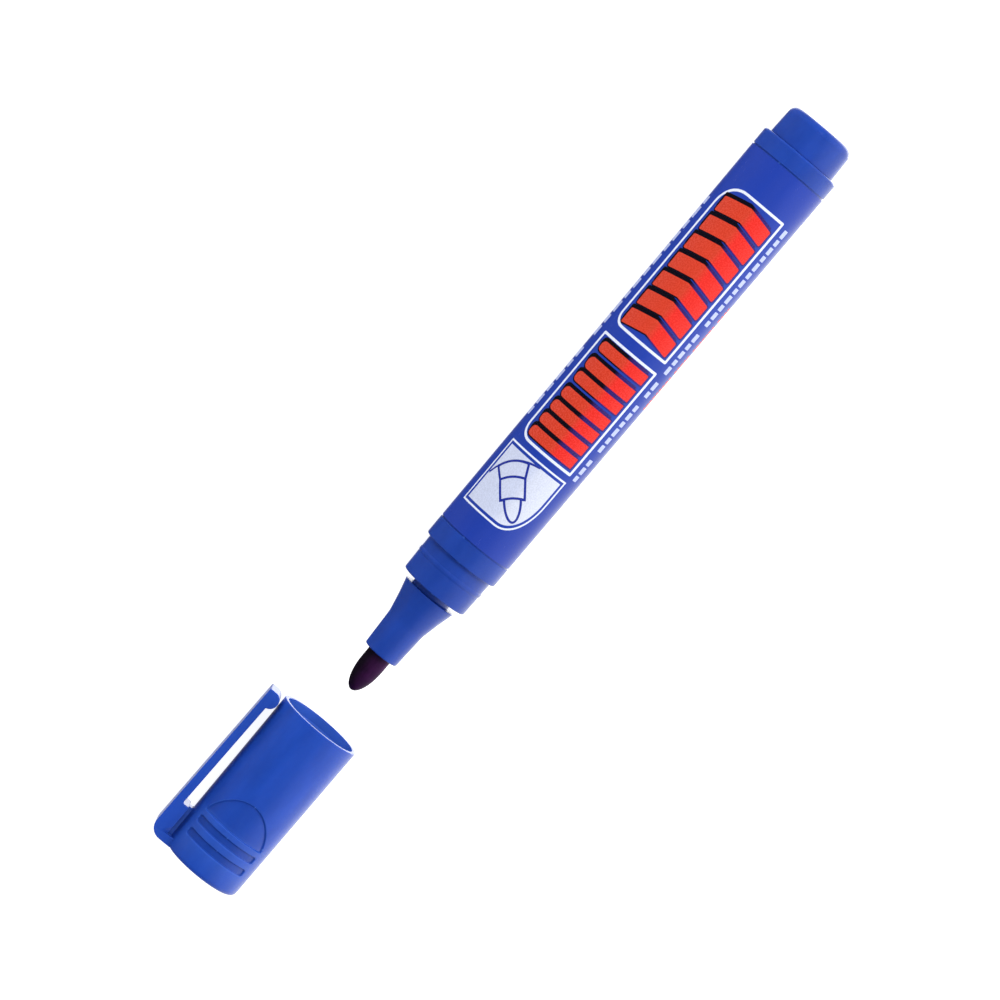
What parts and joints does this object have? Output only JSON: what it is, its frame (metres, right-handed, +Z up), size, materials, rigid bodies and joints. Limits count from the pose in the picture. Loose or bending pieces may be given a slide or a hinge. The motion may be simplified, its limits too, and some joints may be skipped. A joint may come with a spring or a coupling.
{
  "type": "bullet-nib marker",
  "caption": "Round bullet-nib marker with its clip cap pulled off and lying in line with the nib; the cap slides back on and the clip springs open.",
  "frame": {"origin": "centre of the bottom face of the bounding box, with the cap off and in line with the pen", "axes": "+X along the pen from the tail to the cap, +Z up from the surface that it lies on"},
  "size_m": [0.179, 0.0208, 0.0168],
  "materials": {
    "blue_plastic": "glossy blue moulded polypropylene",
    "label_print": "gloss printed film, violet blue with white, red and black artwork",
    "felt_nib": "dense felt soaked with dark ink, slight purple sheen",
    "ink_fibre": "soft fibre rod soaked with ink",
    "wrap_film": "thin clear film"
  },
  "bodies": {
    "pen": {"barrel": "blue_plastic", "label_film": "label_print", "rear_plug": "blue_plastic", "nib_holder": "blue_plastic", "nib": "felt_nib", "ink_reservoir": "ink_fibre", "reservoir_wrap": "wrap_film"},
    "cap": {"cap_shell": "blue_plastic", "inner_cap": "blue_plastic"},
    "clip": {"cap_clip": "blue_plastic"}
  },
  "joints": [
    {"name": "cap_slide", "type": "slide", "parent": "pen", "child": "cap", "axis": [-1, 0, 0], "range_m": [0, 0.0403]},
    {"name": "clip_flex", "type": "hinge", "parent": "cap", "child": "clip", "pos_m": [0.08117, -0.00805, 0.00355], "axis": [0, -0.4343, 0.9008], "range_deg": [0, 4], "stiffness_Nm_per_rad": 0.6}
  ]
}
